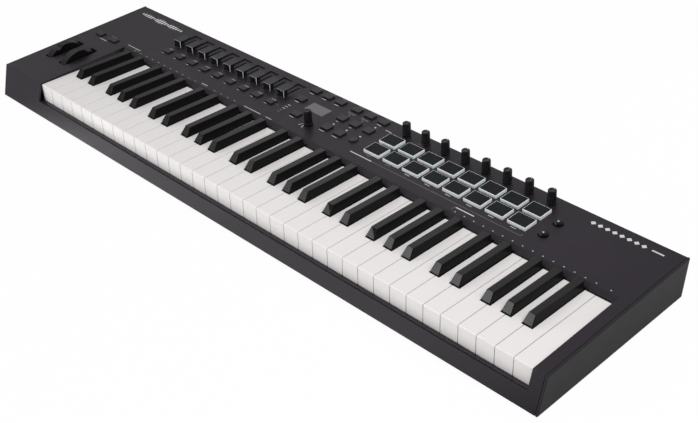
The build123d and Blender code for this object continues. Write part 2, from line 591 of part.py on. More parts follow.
def fader_cap():
    """Ribbed finger plate with a front skirt, open at the sides, and its lever, at the rest place."""
    width, length, height = FADER_CAP
    front, rear = -length / 2, length / 2
    edge, skirt_foot, skirt_top = 1.3, 1.7, 4.4      # thickness of the rear edge and of the skirt
    outline = [
        (front, CONTROL_GAP),
        (front, height),
        (rear, height),
        (rear, height - edge),
        (front + skirt_top, height - edge - 0.6),
        (front + 2.6, height - edge - 2.1),
        (front + skirt_foot, CONTROL_GAP),
    ]
    body = prism(outline, -width / 2, width / 2)
    body = chamfer(body.faces().sort_by(Axis.Z)[-1].edges(), 0.5)
    rib_count, rib_pitch, rib_width, first_rib = 7, 2.0, 0.8, front + 3.2
    groove = Box(width - 2.4, rib_width, 0.9)
    ribs = [Pos(0, first_rib + rib_pitch * i, height) * groove for i in range(rib_count)]
    return body - ribs + block(FADER_LEVER, LEVER_END, height - 1.0)


def slide_pot():
    """Slide potentiometer body with the channel that its lever runs in."""
    width, end_block, channel_spare = 8.0, 16.0, 7.0
    body = block((width, FADER_TRAVEL + end_block), BOARD_TOP, FLANGE_TOP - 0.4)
    channel = block((FADER_SLOT_WIDTH, FADER_TRAVEL + channel_spare), LEVER_END - 0.4, 0)
    return Pos(0, FADER_TRAVEL / 2, 0) * (body - channel)


def knob(radius, taper, height, skirt=0.0):
    """Tall fluted knob, narrower towards its top, and the shaft that it turns on."""
    flute_foot, skirt_top, rim_round = 3.2, 2.4, 1.2
    foot = CONTROL_GAP
    body = Pos(0, 0, (foot + height) / 2) * Cone(radius, radius - taper, height - foot)
    body = fillet(body.edges().group_by(Axis.Z)[-1], rim_round)
    flute = disc(FLUTE_RADIUS, flute_foot, height + 1)
    for i in range(FLUTES):
        a = math.radians(360 / FLUTES * i)
        body -= Pos(radius * math.cos(a), radius * math.sin(a), 0) * flute
    if skirt:
        body += disc(radius + skirt, foot, skirt_top)
    else:
        pointer_slot = Box(1.0, radius, 0.9)
        body -= Pos(0, radius - 1.4, height) * pointer_slot
    return body + disc(SHAFT_RADIUS, SHAFT_END, 1.0)


def rotary_pot(size):
    """Rotary potentiometer or encoder body with the bush around its shaft."""
    body = block((size, size), BOARD_TOP, FLANGE_TOP - 0.8) + disc(3.5, FLANGE_TOP - 1.0, -0.6)
    return body - disc(SHAFT_RADIUS + RUNNING_CLEARANCE, BOARD_TOP + 0.6, 2)


def push_button(size, height=BUTTON_HEIGHT):
    """Rectangular button: cap, retaining flange and plunger."""
    corner_round, top_round, overhang = 0.8, 0.5, 1.6
    cap = block(size, FLANGE_TOP, height)
    cap = fillet(cap.edges().filter_by(Axis.Z), corner_round)
    cap = fillet(cap.faces().sort_by(Axis.Z)[-1].edges(), top_round)
    flange = block((size[0] + overhang, size[1] + overhang), FLANGE_BOTTOM, FLANGE_TOP)
    return cap + flange + block(PLUNGER, PLUNGER_END, FLANGE_BOTTOM)


def round_button(radius, dome):
    """Round button with a crowned top."""
    cap = disc(radius, FLANGE_TOP, dome)
    cap = fillet(cap.edges().group_by(Axis.Z)[-1], dome * 0.8)
    flange = disc(radius + 0.9, FLANGE_BOTTOM, FLANGE_TOP)
    return cap + flange + block(PLUNGER, PLUNGER_END, FLANGE_BOTTOM)


def pad():
    """Soft pad with its skirt and flange."""
    corner_round, top_round, overhang = 1.2, 0.7, 2.0
    body = block(PAD_SIZE, FLANGE_TOP, PAD_HEIGHT)
    body = fillet(body.edges().filter_by(Axis.Z), corner_round)
    body = fillet(body.faces().sort_by(Axis.Z)[-1].edges(), top_round)
    return body + block((PAD_SIZE[0] + overhang, PAD_SIZE[1] + overhang), FLANGE_BOTTOM, FLANGE_TOP)


def wheel(notch_angle, lean):
    """Wheel segment on its hub; the finger notch and the flat underside each lean to the rear."""
    body = Rot(0, 90, 0) * Cylinder(WHEEL_RADIUS, WHEEL_WIDTH)
    body = fillet(body.edges().filter_by(GeomType.CIRCLE), 1.0)
    cutter = 3 * WHEEL_RADIUS
    body -= Rot(-lean, 0, 0) * Pos(0, 0, WHEEL_CUT - cutter / 2) * Box(cutter, cutter, cutter)
    body += Rot(0, 90, 0) * Cylinder(WHEEL_HUB_RADIUS, WHEEL_WIDTH)
    notch = Rot(0, 90, 0) * Cylinder(NOTCH_RADIUS, WHEEL_WIDTH + 2)
    body -= Rot(-notch_angle, 0, 0) * Pos(0, 0, WHEEL_RADIUS - NOTCH_DEPTH + NOTCH_RADIUS) * notch
    body -= Rot(0, 90, 0) * Cylinder(WHEEL_AXLE_RADIUS + RUNNING_CLEARANCE, 2 * WHEEL_WIDTH)
    return Pos(0, 0, WHEEL_RISE - WHEEL_RADIUS) * body


def make_controls():
    cap, small_knob = fader_cap(), knob(KNOB_RADIUS, KNOB_TAPER, KNOB_HEIGHT)
    encoder = knob(ENCODER_RADIUS, ENCODER_TAPER, ENCODER_HEIGHT, ENCODER_SKIRT)
    for i, x in enumerate(FADERS_X):
        keep("fader_cap_%d" % (i + 1), on_deck(x, FADER_REST_Y) * cap)
    for i, x in enumerate(KNOBS_X):
        keep("knob_%d" % (i + 1), on_deck(x, KNOB_Y) * small_knob)
    keep("encoder_knob", on_deck(*ENCODER_AT) * encoder)
    for row, y in PAD_ROWS_Y.items():
        keep("pads_%s_row" % row, deck_row(pad(), [(x, y) for x in PADS_X]))
    keep("fader_buttons", deck_row(push_button(FADER_BUTTON), FADER_BUTTONS_AT))
    keep("function_buttons", deck_row(push_button(ROW_BUTTON), ROW_BUTTONS_AT + SIDE_BUTTONS_AT))
    keep("transport_buttons", deck_row(push_button(TRANSPORT_BUTTON), TRANSPORT_AT)
         + deck_row(round_button(RECORD_RADIUS, RECORD_HEIGHT), [RECORD_AT]))
    keep("octave_buttons", deck_row(push_button(OCTAVE_BUTTON), OCTAVE_AT))
    keep("bank_buttons", deck_row(round_button(BANK_RADIUS, BANK_HEIGHT), BANK_AT))
    keep("pitch_wheel", on_deck(WHEEL_AT["pitch"], WHEEL_Y) * wheel(PITCH_NOTCH, PITCH_LEAN))
    keep("mod_wheel", on_deck(WHEEL_AT["mod"], WHEEL_Y) * wheel(MOD_NOTCH, MOD_LEAN))


def button_places():
    return (FADER_BUTTONS_AT + ROW_BUTTONS_AT + SIDE_BUTTONS_AT + TRANSPORT_AT
            + [RECORD_AT] + BANK_AT)


def make_boards():
    """Circuit boards and the parts that are soldered to them."""
    width, depth = BOARD_RIGHT - BOARD_LEFT, BOARD_REAR - BOARD_FRONT
    centre = ((BOARD_LEFT + BOARD_RIGHT) / 2, (BOARD_FRONT + BOARD_REAR) / 2)
    board = on_deck(*centre) * block((width, depth), -BOARD_DEPTH, BOARD_TOP)
    board -= [span(x - 3.6, x + 3.6, y - 3.4, y + 9, 0, ABOVE_ALL) for x, y in REAR_SCREWS_AT]
    pads_x = (PADS_X[0] + PADS_X[-1]) / 2
    pads_y = sum(PAD_ROWS_Y.values()) / 2
    rows_apart = PAD_ROWS_Y["rear"] - PAD_ROWS_Y["front"]
    size = (PADS_X[-1] - PADS_X[0] + PAD_SIZE[0] + 6, rows_apart + PAD_SIZE[1] + 4)
    pad_board = on_deck(pads_x, pads_y) * block(size, -PAD_BOARD_DEPTH, -PAD_BOARD_DEPTH + BOARD_THICKNESS)
    switch_size, switch_top = (6.0, 6.0), -6.6
    stem = disc(1.6, switch_top - 0.1, switch_top + 0.3)
    switch = block(switch_size, BOARD_TOP, switch_top) + stem
    carrier_top = -9.0
    low_switch = block(switch_size, carrier_top, switch_top) + stem
    carrier_at, carrier_size = (-434.6, 27.6), (52, 14)
    carrier = on_deck(*carrier_at) * block(carrier_size, carrier_top - BOARD_THICKNESS, carrier_top)
    keep("button_switches", deck_row(switch, button_places()) + deck_row(low_switch, OCTAVE_AT))
    front_y = PLATE_REAR_Y - PLATE_THICKNESS - 0.6
    rear_board_y, rear_board_z = 94.0, 10.0
    rear_board = span(PLATE_LEFT + 2, PLATE_RIGHT - 2, rear_board_y, front_y,
                      rear_board_z, rear_board_z + BOARD_THICKNESS)
    keep("circuit_boards", [board, pad_board, carrier, rear_board])
    keep("slide_and_rotary_pots", deck_row(slide_pot(), [(x, FADER_REST_Y) for x in FADERS_X])
         + deck_row(rotary_pot(POT_SIZE), [(x, KNOB_Y) for x in KNOBS_X])
         + deck_row(rotary_pot(ENCODER_BODY_SIZE), [ENCODER_AT]))


def make_display():
    window = block((DISPLAY_SIZE[0] - 0.3, DISPLAY_SIZE[1] - 0.3), -1.6, 0.0)
    module = block((30.0, 16.0), BOARD_TOP, -2.0)
    keep("display_window", on_deck(*DISPLAY_AT) * window)
    keep("display_module", on_deck(*DISPLAY_AT) * module)


def make_wheel_frame():
    """Bracket under the left cheek with the axle that carries both wheels."""
    x0, x1 = WHEEL_AT["pitch"] - 12, WHEEL_AT["mod"] + 12
    axle_z = deck_z(WHEEL_Y) - (WHEEL_RADIUS - WHEEL_RISE) * math.cos(math.radians(DECK_TILT))
    axle_y = WHEEL_Y + (WHEEL_RADIUS - WHEEL_RISE) * math.sin(math.radians(DECK_TILT))
    middle = (WHEEL_AT["pitch"] + WHEEL_AT["mod"]) / 2
    plates = [span(x - 1.2, x + 1.2, axle_y - 9, axle_y + 9, 6.5, axle_z + 7) for x in (x0, middle, x1)]
    bore = rod_x(WHEEL_AXLE_RADIUS + RUNNING_CLEARANCE, x0 - 5, x1 + 5, axle_y, axle_z)
    frame = span(x0, x1, axle_y - 9, axle_y + 9, 6.5, 8.1) + plates - bore
    axle = rod_x(WHEEL_AXLE_RADIUS, x0 - 2.5, x1 + 2.5, axle_y, axle_z)
    keep("wheel_bracket_and_axle", [frame, axle])


# ---- rear connectors -------------------------------------------------------------------
def make_connectors():
    rear = PLATE_REAR_Y
    front = rear - PLATE_THICKNESS
    plate = span(PLATE_LEFT + 0.3, PLATE_RIGHT - 0.3, front, rear, PLATE_BOTTOM_Z + 0.3, PLATE_TOP_Z - 0.3)
    jack_hole = 4.6
    plate -= [bore_y(jack_hole, front - 1, rear + 1, x, SOCKET_Z) for x in JACKS_X]
    plate -= bore_y(8.0, front - 1, rear + 1, MIDI_X, SOCKET_Z)
    plate -= span(USB_X - 6.4, USB_X + 6.4, front - 1, rear + 1, SOCKET_Z - 5.8, SOCKET_Z + 5.8)
    plate -= bore_y(5.2, front - 1, rear + 1, DC_X, SOCKET_Z)
    plate -= span(ROCKER_X - 6.8, ROCKER_X + 6.8, front - 1, rear + 1, SOCKET_Z - 9.8, SOCKET_Z + 9.8)
    keep("rear_connector_plate", plate)

    back = rear - JACK_DEPTH
    sockets = []
    for x in JACKS_X:
        body = span(x - 6, x + 6, back - 2, front, SOCKET_Z - 6.5, SOCKET_Z + 6.5)
        body += bore_y(4.5, front - 1, rear + 0.8, x, SOCKET_Z)
        sockets.append(body - bore_y(JACK_RADIUS, back, rear + 2, x, SOCKET_Z))
    keep("jack_sockets", sockets)

    midi = span(MIDI_X - 10, MIDI_X + 10, back, front, SOCKET_Z - 9.5, SOCKET_Z + 9.5)
    midi += bore_y(7.8, front - 1, rear + 0.4, MIDI_X, SOCKET_Z)
    midi_core = bore_y(5.4, rear - 9, rear - 8, MIDI_X, SOCKET_Z)
    midi -= bore_y(6.6, rear - 9, rear + 2, MIDI_X, SOCKET_Z) - midi_core
    pins = []
    for i in range(5):
        a = math.radians(180 + 45 * i)
        pin_x, pin_z = MIDI_X + 4.2 * math.cos(a), SOCKET_Z + 4.2 * math.sin(a)
        pins.append(bore_y(0.7, rear - 9.5, rear - 8, pin_x, pin_z))
    usb = span(USB_X - 6.1, USB_X + 6.1, back, rear + 0.4, SOCKET_Z - 5.5, SOCKET_Z + 5.5)
    usb -= span(USB_X - 4.3, USB_X + 4.3, rear - 9, rear + 1, SOCKET_Z - 4.0, SOCKET_Z + 4.0)
    usb += span(USB_X - 2.8, USB_X + 2.8, rear - 10, rear - 1.5, SOCKET_Z - 1.6, SOCKET_Z + 1.6)
    power = span(DC_X - 5.6, DC_X + 5.6, back, front, SOCKET_Z - 5.6, SOCKET_Z + 5.6)
    power += bore_y(4.9, front - 1, rear + 0.4, DC_X, SOCKET_Z)
    power -= bore_y(2.8, rear - 9, rear + 1, DC_X, SOCKET_Z)
    power += bore_y(1.0, rear - 10, rear - 0.5, DC_X, SOCKET_Z)
    housing = span(ROCKER_X - 6.5, ROCKER_X + 6.5, rear - 13, rear + 0.6, SOCKET_Z - 9.5, SOCKET_Z + 9.5)
    housing -= span(ROCKER_X - 5.0, ROCKER_X + 5.0, rear - 11, rear + 2, SOCKET_Z - 8.4, SOCKET_Z + 8.4)
    keep("data_and_power_sockets", [midi - pins, usb, power, housing])
    roof = [(rear - 8.0, SOCKET_Z - 3), (rear - 8.0, SOCKET_Z + 3), (rear - 1.6, SOCKET_Z + 7.4),
            (rear + 2.2, SOCKET_Z + 6.2), (rear + 0.4, SOCKET_Z), (rear - 0.2, SOCKET_Z - 7.2),
            (rear - 3.4, SOCKET_Z - 7.0)]
    keep("power_rocker", prism(roof, ROCKER_X - 4.7, ROCKER_X + 4.7))


make_controls()
make_boards()
make_display()
make_wheel_frame()
make_connectors()

# ---- output ----------------------------------------------------------------------------
os.makedirs("parts", exist_ok=True)
for node_name, solids in parts.items():
    export_step(solids[0] if len(solids) == 1 else Compound(children=solids), "parts/%s.step" % node_name)
print(len(parts), "nodes")
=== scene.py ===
import json
import math

import bmesh
import bpy
from mathutils import Matrix, Vector


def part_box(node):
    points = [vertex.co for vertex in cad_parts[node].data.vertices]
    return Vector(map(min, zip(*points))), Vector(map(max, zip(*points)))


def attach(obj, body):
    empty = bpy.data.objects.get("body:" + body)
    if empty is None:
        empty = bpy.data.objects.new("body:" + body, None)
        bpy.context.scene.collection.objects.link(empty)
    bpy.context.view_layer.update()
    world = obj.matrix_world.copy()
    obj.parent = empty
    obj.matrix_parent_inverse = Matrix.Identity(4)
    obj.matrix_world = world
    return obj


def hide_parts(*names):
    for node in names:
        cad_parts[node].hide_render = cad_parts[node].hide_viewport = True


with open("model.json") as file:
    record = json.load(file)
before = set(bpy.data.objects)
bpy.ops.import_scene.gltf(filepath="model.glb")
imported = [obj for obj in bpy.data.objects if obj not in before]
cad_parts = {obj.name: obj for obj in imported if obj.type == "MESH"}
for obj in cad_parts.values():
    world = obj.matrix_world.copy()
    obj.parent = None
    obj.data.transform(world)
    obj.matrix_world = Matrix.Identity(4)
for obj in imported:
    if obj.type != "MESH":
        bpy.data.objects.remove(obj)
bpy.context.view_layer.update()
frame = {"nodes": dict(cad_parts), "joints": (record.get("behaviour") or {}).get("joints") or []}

MM = 0.001
JOINTS = {joint["name"]: joint for joint in frame["joints"]}

# ---- camera and light -------------------------------------------------------------------
CAMERA_AT = Vector((0.9444, -0.8201, 0.8070))
CAMERA_AZIMUTH, CAMERA_ELEVATION, CAMERA_ROLL = 46.05, 34.34, -1.89     # degrees
CAMERA_LENS, CAMERA_SENSOR = 60.71, 36.0

# ---- the deck, taken from the frame -------------------------------------------------------
DECK_POINT = Vector(JOINTS["turn_knob_1"]["pos_m"])
DECK_UP = Vector(JOINTS["turn_knob_1"]["axis"]).normalized()
DECK_REARWARD = Vector(JOINTS["slide_fader_1"]["axis"]).normalized()

OCTAVE = 165.0 * MM
SEMITONE = OCTAVE / 12
PRINT_LIFT = 0.06 * MM              # printed marks stand this far above the deck


def deck_matrix(x, y, lift=0.0):
    """Frame on the deck surface above (x, y): local z is the deck's normal, local y runs rearward."""
    z = DECK_POINT.z - DECK_UP.y * (y - DECK_POINT.y) / DECK_UP.z
    right = Vector((1, 0, 0))
    matrix = Matrix((right, DECK_REARWARD, DECK_UP)).transposed().to_4x4()
    matrix.translation = Vector((x, y, z)) + DECK_UP * lift
    return matrix


def solid_boxes(node):
    """Boxes of the separate solids in a CAD node, from left to right."""
    mesh = frame["nodes"][node].data
    ids, corner = {}, []
    for v in mesh.vertices:
        key = tuple(round(c * 1e5) for c in v.co)
        corner.append(ids.setdefault(key, len(ids)))
    parent = list(range(len(ids)))

    def root(i):
        while parent[i] != i:
            parent[i] = parent[parent[i]]
            i = parent[i]
        return i

    for edge in mesh.edges:
        a, b = root(corner[edge.vertices[0]]), root(corner[edge.vertices[1]])
        parent[a] = b
    boxes = {}
    for v in mesh.vertices:
        low, high = boxes.setdefault(root(corner[v.index]), (v.co.copy(), v.co.copy()))
        for axis in range(3):
            low[axis] = min(low[axis], v.co[axis])
            high[axis] = max(high[axis], v.co[axis])
    return sorted(boxes.values(), key=lambda box: (round(box[0].x, 3), box[0].y))


# ---- materials --------------------------------------------------------------------------
def node_in(tree, kind, x, y, **values):
    node = tree.nodes.new(kind)
    node.location = (x, y)
    for name, value in values.items():
        node.inputs[name.replace("_", " ")].default_value = value
    return node


def upright_shade(tree, low, high):
    """Value that goes from low on upright faces to high on faces that look up."""
    face = tree.nodes.new("ShaderNodeNewGeometry")
    split = tree.nodes.new("ShaderNodeSeparateXYZ")
    tree.links.new(face.outputs["Normal"], split.inputs["Vector"])
    fade = tree.nodes.new("ShaderNodeMapRange")
    for name, value in (("From Min", 0.3), ("From Max", 0.8), ("To Min", low), ("To Max", high)):
        fade.inputs[name].default_value = value
    tree.links.new(split.outputs["Z"], fade.inputs["Value"])
    return fade.outputs["Result"]


def moulded(name, colour, roughness=0.45, grain=1800.0, bump=0.04, blotch=0.10, rough_spread=0.06,
            specular=0.5, coat=0.0, soft_edge=0.0, shaded_side_gloss=1.0, **extra):
    """Moulded plastic or rubber: fine surface grain, a slow drift of colour, and uneven roughness.

    shaded_side_gloss below 1 paints shade on upright faces: they reflect less than the top, so the sides
    render darker.
    """
    material = bpy.data.materials.new(name)
    material.use_nodes = True
    tree = material.node_tree
    links = tree.links
    shader = tree.nodes["Principled BSDF"]
    shader.inputs["Specular IOR Level"].default_value = specular
    # Painted shade: upright faces get less specular than faces that look up, so the sides render darker.
    if shaded_side_gloss < 1:
        links.new(upright_shade(tree, specular * shaded_side_gloss, specular), shader.inputs["Specular IOR Level"])
    shader.inputs["Coat Weight"].default_value = coat
    shader.inputs["Coat Roughness"].default_value = 0.12
    for key, value in extra.items():
        shader.inputs[key.replace("_", " ")].default_value = value
    place = node_in(tree, "ShaderNodeTexCoord", -1200, 0)

    drift = node_in(tree, "ShaderNodeTexNoise", -900, 200, Scale=9.0, Detail=4.0, Roughness=0.55)
    links.new(place.outputs["Object"], drift.inputs["Vector"])
    ramp = node_in(tree, "ShaderNodeValToRGB", -650, 200)
    low, high = ramp.color_ramp.elements
    low.position, high.position = 0.3, 0.72
    low.color = (*[c * (1 - blotch) for c in colour], 1)
    high.color = (*[min(1.0, c * (1 + blotch)) for c in colour], 1)
    links.new(drift.outputs["Fac"], ramp.inputs["Fac"])
    links.new(ramp.outputs["Color"], shader.inputs["Base Color"])

    smear = node_in(tree, "ShaderNodeTexNoise", -900, -80, Scale=42.0, Detail=5.0, Roughness=0.6)
    links.new(place.outputs["Object"], smear.inputs["Vector"])
    spread = node_in(tree, "ShaderNodeMapRange", -650, -80)
    spread.inputs["To Min"].default_value = max(0.02, roughness - rough_spread)
    spread.inputs["To Max"].default_value = min(1.0, roughness + rough_spread)
    links.new(smear.outputs["Fac"], spread.inputs["Value"])
    links.new(spread.outputs["Result"], shader.inputs["Roughness"])

    speck = node_in(tree, "ShaderNodeTexNoise", -900, -360, Scale=grain, Detail=2.0, Roughness=0.5)
    links.new(place.outputs["Object"], speck.inputs["Vector"])
    relief = node_in(tree, "ShaderNodeBump", -400, -360, Strength=bump, Distance=0.1 * MM)
    links.new(speck.outputs["Fac"], relief.inputs["Height"])
    links.new(relief.outputs["Normal"], shader.inputs["Normal"])
    if soft_edge:
        bevel = node_in(tree, "ShaderNodeBevel", -650, -480, Radius=soft_edge)
        bevel.samples = 4
        links.new(bevel.outputs["Normal"], relief.inputs["Normal"])
    return material


def make_materials():
    m = {}
    m["case"] = moulded("case_plastic", (0.0165, 0.0116, 0.0182), 0.44, bump=0.10, soft_edge=0.2 * MM)
    m["cap"] = moulded("cap_plastic", (0.0150, 0.0135, 0.0165), 0.38, bump=0.10)
    m["white_key"] = moulded("white_key", (0.83, 0.805, 0.795), 0.28, grain=900, bump=0.012, blotch=0.003,
                             rough_spread=0.02, coat=0.15)
    # Painted shade: the black keys' upright sides reflect only 12% as much as their tops, so they render
    # darker.
    m["black_key"] = moulded("black_key", (0.0085, 0.0082, 0.0085), 0.24, grain=2200, bump=0.05, blotch=0.12,
                             shaded_side_gloss=0.12)
    m["gloss"] = moulded("gloss_black", (0.004, 0.004, 0.0044), 0.20, grain=700, bump=0.01)
    # Pale coat on the fader caps' front edges and front-face sides: a painted highlight.
    m["fader_edge"] = moulded("fader_edge", (0.58, 0.58, 0.59), 0.22, bump=0.01, coat=0.3)
    m["fader_top"] = moulded("fader_top", (0.020, 0.019, 0.0205), 0.32, bump=0.05)
    m["soft_touch"] = moulded("soft_touch", (0.013, 0.013, 0.0138), 0.32, grain=2600, bump=0.08,
                              specular=0.45)
    m["knob_top"] = moulded("knob_top", (0.030, 0.028, 0.030), 0.40, grain=2600, bump=0.10)
    m["wheel"] = moulded("wheel_rubber", (0.005, 0.005, 0.0053), 0.40, grain=2600, bump=0.10, specular=0.4)
    # Painted shade: the button sides reflect almost nothing, so they render near-black.
    m["button"] = moulded("button_rubber", (0.022, 0.0190, 0.022), 0.36, grain=2400, bump=0.12,
                          soft_edge=0.25 * MM, shaded_side_gloss=0.05)
    m["pad_top"] = moulded("pad_top", (0.008, 0.0088, 0.0105), 0.55, grain=3000, bump=0.30, specular=0.25)
    m["pad_skirt"] = moulded("pad_skirt", (0.76, 0.80, 0.805), 0.42, grain=1500, bump=0.05, blotch=0.03,
                             specular=0.4, Subsurface_Weight=0.35, Subsurface_Scale=0.002)
    m["print"] = moulded("white_print", (0.62, 0.62, 0.63), 0.5, bump=0.03, blotch=0.06)
    m["grey_print"] = moulded("grey_print", (0.17, 0.17, 0.175), 0.5, bump=0.03, blotch=0.08)
    m["lens"] = moulded("key_light_lens", (0.50, 0.50, 0.50), 0.25, bump=0.01, coat=0.4)
    m["dim_lens"] = moulded("dim_key_light_lens", (0.42, 0.42, 0.43), 0.25, bump=0.01, coat=0.4)
    m["window"] = moulded("display_window", (0.126, 0.115, 0.129), 0.20, bump=0.004, blotch=0.05)
    m["foot"] = moulded("foot_rubber", (0.02, 0.02, 0.02), 0.8, bump=0.3)
    m["frame"] = moulded("frame_plastic", (0.05, 0.05, 0.053), 0.55, bump=0.1)
    m["component"] = moulded("component_plastic", (0.02, 0.02, 0.02), 0.5, bump=0.1)
    m["board"] = moulded("circuit_board", (0.02, 0.12, 0.05), 0.4, grain=400, bump=0.1, blotch=0.2)
    m["contact"] = moulded("contact_rubber", (0.35, 0.35, 0.36), 0.6, bump=0.08)
    m["felt"] = moulded("felt", (0.35, 0.03, 0.03), 0.95, grain=700, bump=0.8, blotch=0.25, Sheen_Weight=0.6)
    m["steel"] = moulded("plated_steel", (0.50, 0.50, 0.51), 0.32, grain=500, bump=0.05, Metallic=1.0)
    m["metal"] = moulded("stamped_metal", (0.30, 0.30, 0.31), 0.38, grain=500, bump=0.08, Metallic=1.0)
    return m


MATERIALS = make_materials()
NODE_MATERIALS = {
    "case": ["top_cover", "bottom_case"],
    "cap": ["end_caps", "rear_connector_plate"],
    "button": ["fader_buttons", "function_buttons", "transport_buttons", "octave_buttons"],
    "gloss": ["bank_buttons"],
    "window": ["display_window"],
    "foot": ["rubber_feet"],
    "frame": ["key_chassis", "wheel_bracket_and_axle"],
    "component": ["button_switches", "display_module", "jack_sockets", "data_and_power_sockets"],
    "board": ["circuit_boards", "key_contact_board"],
    "contact": ["key_contact_strips"],
    "felt": ["key_stop_felts"],
    "steel": ["case_screws", "key_pivot_rod", "key_springs"],
    "metal": ["slide_and_rotary_pots"],
    "soft_touch": ["power_rocker"],
}


def paint_nodes():
    """Gives every CAD node that stays in view its material."""
    for name, nodes in NODE_MATERIALS.items():
        for node in nodes:
            paint(frame["nodes"][node], MATERIALS[name])
    for node, piece in frame["nodes"].items():
        if node.startswith("keys_"):
            sharp = "sharp" in node
            paint(piece, MATERIALS["black_key" if sharp else "white_key"])
            soften(piece, 0.7 * MM if sharp else 0.15 * MM)


def paint(piece, material):
    piece.data.materials.clear()
    piece.data.materials.append(material)


def soften(piece, width):
    """Rounds the sharp edges of a CAD node without touching its mesh."""
    weld = piece.modifiers.new("join_faces", "WELD")
    weld.merge_threshold = 0.01 * MM
    add_bevel(piece, width, 2, 25)


# ---- mesh helpers -----------------------------------------------------------------------
def new_piece(name, bm, materials, body, smooth=True):
    """Turns a bmesh into a piece that rides on a body."""
    bmesh.ops.recalc_face_normals(bm, faces=bm.faces)
    mesh = bpy.data.meshes.new(name)
    bm.to_mesh(mesh)
    bm.free()
    for material in materials:
        mesh.materials.append(material)
    if smooth:
        mesh.shade_smooth()
        mesh.set_sharp_from_angle(angle=math.radians(38))
    piece = bpy.data.objects.new(name, mesh)
    bpy.context.scene.collection.objects.link(piece)
    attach(piece, body)
    return piece


def rounded_rect(width, length, radius, steps=5):
    """Corner-rounded rectangle as a list of points, anticlockwise."""
    points = []
    for corner, (sx, sy) in enumerate(((1, 1), (-1, 1), (-1, -1), (1, -1))):
        cx, cy = sx * (width / 2 - radius), sy * (length / 2 - radius)
        for i in range(steps + 1):
            a = math.radians(90 * (corner + i / steps))
            points.append((cx + radius * math.cos(a), cy + radius * math.sin(a)))
    return points


def loft(bm, rings, matrix, slots, close_bottom=True):
    """Joins rings of equal point count, bottom to top; slots holds the material of each band and the lid."""
    loops = [[bm.verts.new(matrix @ Vector(p)) for p in ring] for ring in rings]
    count = len(loops[0])
    for band, (lower, upper) in enumerate(zip(loops, loops[1:])):
        for i in range(count):
            j = (i + 1) % count
            face = bm.faces.new((lower[i], lower[j], upper[j], upper[i]))
            face.material_index = slots[band]
    lid = bm.faces.new(loops[-1])
    lid.material_index = slots[len(loops) - 1]
    if close_bottom:
        bm.faces.new(list(reversed(loops[0])))


def rect_ring(size, inset, height, radius):
    corner = max(radius - inset, 0.15 * MM)
    return [(x, y, height) for x, y in rounded_rect(size[0] - 2 * inset, size[1] - 2 * inset, corner)]


def add_slab(bm, matrix, size, height, radius, slot=0):
    """Thin rounded slab that stands on the local plane."""
    rings = [rect_ring(size, 0, 0, radius), rect_ring(size, 0, height, radius)]
    loft(bm, rings, matrix, [slot, slot])


def extrude_profile(bm, points, x0, x1, matrix, slot=0):
    """Closed outline in local (y, z), pulled along local x."""
    sides = [[bm.verts.new(matrix @ Vector((x, y, z))) for y, z in points] for x in (x0, x1)]
    count = len(points)
    for i in range(count):
        j = (i + 1) % count
        bm.faces.new((sides[0][i], sides[0][j], sides[1][j], sides[1][i])).material_index = slot
    for side in sides:
        bm.faces.new(side).material_index = slot


def add_bevel(piece, width, segments=3, angle=35, material=-1):
    modifier = piece.modifiers.new("soft_edges", "BEVEL")
    modifier.width = width
    modifier.segments = segments
    modifier.limit_method = "ANGLE"
    modifier.angle_limit = math.radians(angle)
    modifier.material = material
    modifier.harden_normals = False
    return modifier


# ---- pads -------------------------------------------------------------------------------
PAD_TOP = 3.75
PAD_RINGS = ((0.0, -3.0), (0.0, PAD_TOP - 0.8), (0.12, PAD_TOP - 0.35), (0.38, PAD_TOP - 0.08),
             (0.80, PAD_TOP - 0.03), (0.95, PAD_TOP - 0.30), (1.15, PAD_TOP - 0.30),
             (1.30, PAD_TOP - 0.04), (1.60, PAD_TOP), (3.2, PAD_TOP))    # inset and height, mm
PAD_PALE_BANDS = 4
PAD_FLANGE = 2.0 * MM


def make_pads():
    """Soft pads: pale translucent skirt, thin rim and a dark textured top."""
    slots = [0] * PAD_PALE_BANDS + [1] * (len(PAD_RINGS) - PAD_PALE_BANDS)
    for row in ("front", "rear"):
        node = "pads_%s_row" % row
        bm = bmesh.new()
        for low, high in solid_boxes(node):
            centre = (low + high) / 2
            size = (high.x - low.x - PAD_FLANGE, high.y - low.y - PAD_FLANGE)
            rings = [rect_ring(size, inset * MM, z * MM, 1.2 * MM) for inset, z in PAD_RINGS]
            loft(bm, rings, deck_matrix(centre.x, centre.y), slots)
        piece = new_piece("pads_%s" % row, bm, [MATERIALS["pad_skirt"], MATERIALS["pad_top"]],
                          "pads_%s" % row)
        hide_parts(node)


# ---- faders -----------------------------------------------------------------------------
CAP_LENGTH, CAP_BOTTOM, CAP_TOP = 19.4, 0.6, 10.4          # mm, on the deck
CAP_RIBS, CAP_RIB_DEPTH, CAP_DISH = 8, 0.22, 0.5
FACE_TOP, FACE_FOOT = 1.1, 0.6                              # thickness of the front face, whose sides carry a painted highlight


def cap_plate_outline():
    """Side view of the dark part of the cap: a front wall and a ribbed, dished top plate."""
    face, rear = -CAP_LENGTH / 2, CAP_LENGTH / 2
    front = face + FACE_TOP
    points = [(front, CAP_TOP)]
    steps = CAP_RIBS * 4
    for i in range(steps + 1):
        t = i / steps
        y = front + 0.2 + (rear - front - 1.2) * t
        dish = CAP_DISH * (1 - (2 * t - 1) ** 2)
        rib = CAP_RIB_DEPTH * (0.5 + 0.5 * math.cos(2 * math.pi * CAP_RIBS * t))
        points.append((y, CAP_TOP - dish - rib))
    points += [(rear, CAP_TOP), (rear, 9.1), (face + 4.4, 8.5), (face + 2.6, 7.0), (face + 1.7, CAP_BOTTOM),
               (face + FACE_FOOT, CAP_BOTTOM)]
    return [(y * MM, z * MM) for y, z in points]


